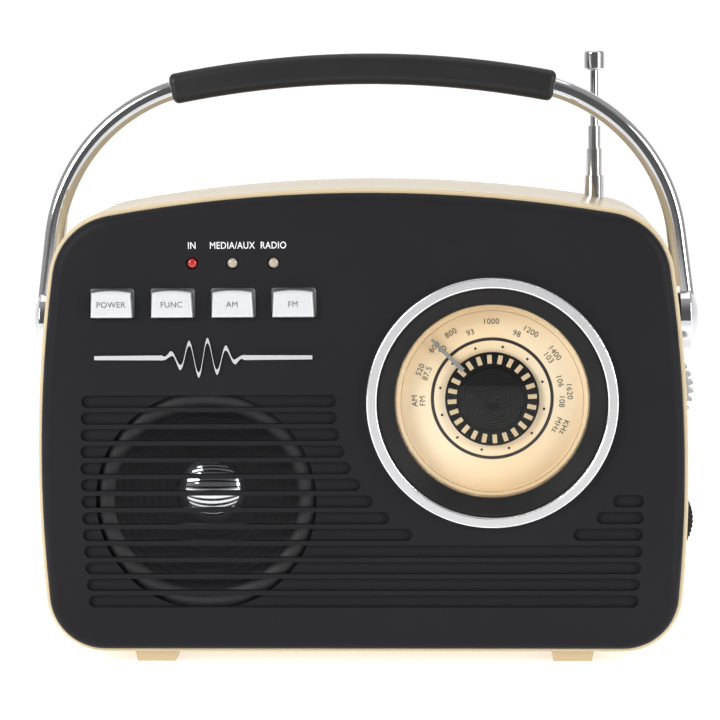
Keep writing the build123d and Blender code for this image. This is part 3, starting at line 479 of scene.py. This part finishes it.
def wound_copper():
    """Close turns of enamelled copper wire along the ferrite rod, with a painted highlight along
    each turn and painted shade in the grooves between them.
    """
    f = Finish("wound_copper")
    x, _, _ = f.parts(f.place())
    # painted highlight and shade: each turn is bright on its crest and dark in the groove to the
    # next, as well as bumped
    turns = (x * 2 * math.pi / (0.45 * MM)).sine() * 0.5 + 0.5
    cloud = f.noise(120, 3)
    colour = f.blend(turns, (0.22, 0.07, 0.025), (0.62, 0.26, 0.10))
    return f.done(colour, 0.24 + cloud * 0.12, metal=0.9, normal=f.bump(turns, 0.00018, 0.8))


def laminated_iron():
    """Stacked transformer laminations with varnish."""
    f = Finish("laminated_iron")
    _, y, _ = f.parts(f.place())
    sheets = (y * 2 * math.pi / (0.5 * MM)).sine() * 0.5 + 0.5
    rust = f.noise(140, 5, 0.7)
    colour = f.blend(rust, (0.07, 0.065, 0.06), (0.20, 0.17, 0.14))
    return f.done(colour, 0.42 + rust * 0.2, metal=0.7, normal=f.bump(sheets, 0.00008, 0.6))


def printed_ink(name, tone):
    """Screen-printed ink, slightly uneven."""
    f = Finish(name)
    cloud = f.noise(2200, 3)
    dark = tuple(c * 0.82 for c in tone)
    colour = f.blend(cloud, dark, tone)
    return f.done(colour, 0.42 + cloud * 0.12, normal=f.bump(cloud, 0.00001, 0.3))


def gilt_bar():
    """Pale gold bars set round the dial's black disc."""
    f = Finish("gilt_bar")
    cloud = f.noise(1400, 3)
    colour = f.blend(cloud, (0.62, 0.47, 0.29), (0.80, 0.64, 0.43))
    return f.done(colour, 0.26 + cloud * 0.12, metal=0.45, normal=f.bump(cloud, 0.00001, 0.3))


def textured_disc():
    """Black disc of the dial, with a finely turned face."""
    f = Finish("textured_disc")
    radius, _ = f.polar(DIAL)
    ring = (radius * 2 * math.pi / (0.35 * MM)).sine()
    cloud = f.noise(300, 4)
    colour = f.blend(cloud, (0.008, 0.008, 0.009), (0.012, 0.012, 0.013))
    return f.done(colour, 0.46 + cloud * 0.15, normal=f.bump(ring, 0.000004, 0.3),
                  Specular_IOR_Level=0.08)


def studio_paper():
    """White paper that is lit from behind where the radio stands and beyond it."""
    f = Finish("studio_paper")
    _, y, _ = f.parts(f.place())
    cloud = f.noise(3, 2)
    colour = f.blend(cloud, (0.90, 0.90, 0.90), (0.93, 0.93, 0.93))
    lit = f.blend(y.over(-0.28, 0.2), (0.0, 0.0, 0.0), (1.0, 1.0, 1.0))
    return f.done(colour, 0.9, Emission_Color=lit, Emission_Strength=0.50)


# ---- which piece takes which finish -----------------------------------------------------
def wear(material, *nodes):
    for node in nodes:
        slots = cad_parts[node].data.materials
        if not slots:
            slots.append(material)
        for number in range(len(slots)):
            slots[number] = material


def dress_frame():
    black = moulded_black()
    chrome = polished_chrome()
    tube = drawn_chrome()
    steel = bright_steel()
    board = circuit_board()
    ferrite = fired_ferrite()
    nylon = natural_nylon()
    # each lamp lens gets a painted glow tone for its middle and a painted shade tone for its rim;
    # the milky one also dresses the tuning capacitor
    milky = lamp_lens("milky_lamp_lens", (0.16, 0.13, 0.10), (0.42, 0.36, 0.29), 0.2)
    red = lamp_lens("red_lamp_lens", (0.05, 0.002, 0.001), (0.40, 0.012, 0.008), 0.15)
    wear(soft_touch_black(), "front_panel")
    wear(glossy_cream(), "cabinet_frame", "rear_cover", "feet", "battery_door")
    wear(printed_plate(), "dial_plate")
    wear(brushed_ring(), "dial_ring")
    wear(bezel_black(), "dial_bezel")
    wear(clear_window(), "dial_lens")
    wear(textured_disc(), "dial_disc")
    wear(bright_steel("pointer_steel", 0.36, (4, 4, 0.3)), "dial_pointer")
    wear(chrome, "front_ornament", "handle_strap", "handle_hubs", "speaker_dust_cap")
    wear(tube, "aerial_sleeve", "aerial_lower", "aerial_middle", "aerial_tip")
    wear(grip_rubber(), "handle_grip")
    wear(silver_paint(), "tuning_wheel")
    wear(black, "volume_wheel", "battery_box", "wheel_bracket", "key_switches", "speaker_basket",
         "board_parts", "mains_inlet", "aux_socket", "aerial_bracket", "handle_plinths")
    wear(pearl_key(), "power_key", "function_key", "am_key", "fm_key")
    wear(red, "power_lamp")
    wear(milky, "mode_lamps", "tuning_capacitor")
    wear(steel, "case_screws", "small_screws", "tuning_pin", "volume_shaft", "volume_control",
         "usb_socket", "card_slot", "handle_pivots")
    wear(bright_steel("nickel_contact", 0.66, (1, 0.1, 1)), "battery_contacts")
    wear(cell_sleeve(), "battery_cells")
    wear(pressed_paper(), "speaker_cone")
    wear(soft_rubber(), "speaker_surround")
    wear(ferrite, "speaker_magnet", "ferrite_rod")
    wear(board, "main_board", "key_board", "media_board")
    wear(nylon, "dial_gear", "ferrite_clips")
    wear(wound_copper(), "aerial_coil")
    wear(laminated_iron(), "transformer")


# ---- modelling helpers ------------------------------------------------------------------
CAPITAL_SHARE = 0.70        # height of a capital in the type, as a share of its size


def deselect():
    if bpy.context.object and bpy.context.object.mode != "OBJECT":
        bpy.ops.object.mode_set(mode="OBJECT")
    bpy.ops.object.select_all(action="DESELECT")


def settle(piece, name, material):
    """Name and finish a new piece, with its place in its mesh."""
    piece.name = name
    piece.data.name = name
    deselect()
    piece.select_set(True)
    bpy.context.view_layer.objects.active = piece
    bpy.ops.object.transform_apply(location=True, rotation=True, scale=True)
    piece.data.materials.clear()
    piece.data.materials.append(material)
    return piece


def pick_faces(piece, wanted):
    """In edit mode, select the faces whose centre and normal pass a test."""
    bpy.ops.mesh.select_mode(type="FACE")
    bpy.ops.mesh.select_all(action="DESELECT")
    shape = bmesh.from_edit_mesh(piece.data)
    for face in shape.faces:
        face.select_set(wanted(face.calc_center_median(), face.normal))
    bmesh.update_edit_mesh(piece.data)


def front_disc(radius, at, thick, sides=96):
    """A round blank lying flat on a plane that faces the front."""
    deselect()
    bpy.ops.mesh.primitive_cylinder_add(vertices=sides, radius=radius, depth=thick,
                                        location=at, rotation=(math.pi / 2, 0, 0))
    return bpy.context.object


def front_ring(outer, inner, at, thick, sides=128):
    """A flat ring: a disc whose two faces are inset and then bridged through."""
    ring = front_disc(outer, at, thick, sides)
    bpy.ops.object.mode_set(mode="EDIT")
    pick_faces(ring, lambda centre, normal: abs(normal.z) > 0.9)
    bpy.ops.mesh.inset(thickness=outer - inner, depth=0, use_individual=True)
    bpy.ops.mesh.bridge_edge_loops()
    bpy.ops.object.mode_set(mode="OBJECT")
    return ring


def join(pieces):
    deselect()
    for piece in pieces:
        piece.select_set(True)
    bpy.context.view_layer.objects.active = pieces[0]
    bpy.ops.object.join()
    return bpy.context.object


def round_dial(angle, radius, y):
    """A point at a clock angle, in degrees from straight up, on a circle about the dial."""
    turn = math.radians(angle)
    return Vector((DIAL.x + radius * math.sin(turn), y, DIAL.z + radius * math.cos(turn)))


def lettering(words, high, at, turn=0.0, wide=1.0, bold=0.0):
    """Words standing on a front-facing plane, centred on a point, turned clockwise in degrees."""
    deselect()
    bpy.ops.object.text_add(location=(0, 0, 0))
    text = bpy.context.object
    text.data.body = words
    text.data.size = high / CAPITAL_SHARE
    text.data.align_x = "CENTER"
    text.data.align_y = "CENTER"
    text.data.extrude = PRINT_THICK / 2
    text.data.offset = bold * high
    text.data.resolution_u = 4
    text.data.space_character = 1.06
    bpy.ops.object.convert(target="MESH")
    text = bpy.context.object
    stand = Matrix.Rotation(math.pi / 2, 4, "X")
    lean = Matrix.Rotation(math.radians(turn), 4, "Y")
    text.matrix_world = Matrix.Translation(at) @ lean @ stand @ Matrix.Diagonal((wide, 1, 1, 1))
    bpy.ops.object.transform_apply(location=True, rotation=True, scale=True)
    bpy.ops.object.mode_set(mode="EDIT")
    bpy.ops.mesh.select_all(action="SELECT")
    bpy.ops.mesh.remove_doubles(threshold=0.000001)
    bpy.ops.mesh.normals_make_consistent(inside=False)
    bpy.ops.object.mode_set(mode="OBJECT")
    return text


# ---- dial printing ----------------------------------------------------------------------
AM_RADIUS, FM_RADIUS = 28.7 * MM, 25.8 * MM
NUMBER_HIGH = 2.1 * MM
AM_SCALE = (("AM", -91.6), ("520", -68), ("600", -48), ("800", -32), ("1000", -0.7), ("1200", 29.8),
            ("1400", 53.8), ("1620", 84.8), ("KHz", 112))
FM_SCALE = (("FM", -92), ("87.5", -68.7), ("90", -45), ("93", -18), ("98", 20.7), ("103", 54),
            ("106", 75.5), ("108", 92.5), ("MHz", 112.5))
TRACK_OUT, TRACK_IN = 22.8 * MM, 21.6 * MM
HOUR_DOTS, DOT_START, DOT_AT, DOT_R = 12, 11.7, 19.6 * MM, 0.5 * MM
TICKS, TICK_START, TICK_AT = 24, -3.6, 14.9 * MM
TICK_SIZE, TICK_SOFT, TICK_SINK = (1.7 * MM, 0.5 * MM, 3.3 * MM), 0.16 * MM, 1.0 * MM


def dial_numbers(ink):
    y = PLATE_FRONT_Y - PRINT_THICK / 2
    marks = []
    for scale, radius in ((AM_SCALE, AM_RADIUS), (FM_SCALE, FM_RADIUS)):
        for words, angle in scale:
            marks.append(lettering(words, NUMBER_HIGH, round_dial(angle, radius, y), angle))
    numbers = settle(join(marks), "dial_numbers", ink)
    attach(numbers, "cabinet")


def dial_track(ink):
    """The printed ring inside the numbers, with its twelve dots."""
    y = PLATE_FRONT_Y - PRINT_THICK / 2
    track = front_ring(TRACK_OUT, TRACK_IN, Vector((DIAL.x, y, DIAL.z)), PRINT_THICK)
    track = settle(track, "dial_track", ink)
    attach(track, "cabinet")
    dots = []
    for n in range(HOUR_DOTS):
        spot = round_dial(DOT_START + n * 360 / HOUR_DOTS, DOT_AT, y)
        dots.append(front_disc(DOT_R, spot, PRINT_THICK, 20))
    dots = settle(join(dots), "dial_dots", ink)
    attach(dots, "cabinet")


def dial_bars(gilt):
    """Raised bars round the turning disc, longer than wide, with soft edges."""
    bars = []
    rim_y = DISC_FRONT_Y + TICK_SINK
    for n in range(TICKS):
        angle = TICK_START + n * 360 / TICKS
        deselect()
        bpy.ops.mesh.primitive_cube_add(size=1, location=round_dial(angle, TICK_AT, rim_y),
                                        rotation=(0, math.radians(angle), 0), scale=TICK_SIZE)
        bar = bpy.context.object
        bpy.ops.object.transform_apply(location=True, rotation=True, scale=True)
        soften = bar.modifiers.new("soft_edges", "BEVEL")
        soften.width = TICK_SOFT
        soften.segments = 2
        bpy.ops.object.modifier_apply(modifier=soften.name)
        bars.append(bar)
    bars = settle(join(bars), "dial_bars", gilt)
    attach(bars, "dial")


# ---- words on the face ------------------------------------------------------------------
KEY_WORDS = (("power_key", "POWER"), ("function_key", "FUNC"), ("am_key", "AM"), ("fm_key", "FM"))
KEY_WORD_HIGH, KEY_WORD_DROP = 2.1 * MM, 0.2 * MM
LAMP_WORDS = ("IN", "MEDIA/AUX", "RADIO")
LAMP_WORD_HIGH, LAMP_WORD_RISE = 2.5 * MM, 6.4 * MM
LAMP_COLLAR_R = 2.35 * MM


def key_words(ink):
    for node, words in KEY_WORDS:
        low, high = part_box(node)
        centre = (low + high) / 2
        at = Vector((centre.x, low.y - PRINT_THICK / 2, centre.z - KEY_WORD_DROP))
        label = lettering(words, KEY_WORD_HIGH, at)
        label = settle(label, node + "_word", ink)
        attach(label, node)


def lamp_words(ink):
    """Generic source names above the three lamps."""
    lamps = [middle("power_lamp").x]
    low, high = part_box("mode_lamps")
    lamps += [low.x + LAMP_COLLAR_R, high.x - LAMP_COLLAR_R]
    y = FACE_Y - PRINT_THICK / 2
    z = LAMP_Z + LAMP_WORD_RISE
    labels = []
    for words, x in zip(LAMP_WORDS, lamps):
        at = Vector((x, y, z))
        labels.append(lettering(words, LAMP_WORD_HIGH, at, wide=0.84, bold=0.012))
    labels = settle(join(labels), "lamp_words", ink)
    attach(labels, "cabinet")


# ---- floor ------------------------------------------------------------------------------
FLOOR_SIZE, FLOOR_MIDDLE_Y = (8, 5, 1), 0.5
BACKDROP_HIGH, COVE_WIDE = 4, 1.2


def studio_floor():
    """Pale floor that curves up into a wall behind the radio."""
    deselect()
    bpy.ops.mesh.primitive_plane_add(size=1, location=(0, FLOOR_MIDDLE_Y, 0))
    floor = bpy.context.object
    floor.scale = FLOOR_SIZE
    bpy.ops.object.transform_apply(location=True, rotation=True, scale=True)
    bpy.ops.object.mode_set(mode="EDIT")
    bpy.ops.mesh.select_mode(type="EDGE")
    bpy.ops.mesh.select_all(action="DESELECT")
    shape = bmesh.from_edit_mesh(floor.data)
    for edge in shape.edges:
        edge.select_set(all(v.co.y > 1 for v in edge.verts))
    bmesh.update_edit_mesh(floor.data)
    bpy.ops.mesh.extrude_region_move(TRANSFORM_OT_translate={"value": (0, 0, BACKDROP_HIGH)})
    bpy.ops.object.mode_set(mode="OBJECT")
    curve = floor.modifiers.new("cove", "BEVEL")
    curve.width = COVE_WIDE
    curve.segments = 12
    curve.limit_method = "ANGLE"
    bpy.ops.object.modifier_apply(modifier=curve.name)
    bpy.ops.object.shade_smooth()
    settle(floor, "studio_floor", studio_paper())


set_camera()
set_world()
set_lights()
studio_floor()
dress_frame()
dark_ink = printed_ink("dark_scale_ink", (0.020, 0.016, 0.014))
dial_numbers(dark_ink)
dial_track(dark_ink)
dial_bars(gilt_bar())
key_words(printed_ink("grey_key_ink", (0.10, 0.10, 0.11)))
lamp_words(printed_ink("white_label_ink", (0.82, 0.82, 0.82)))
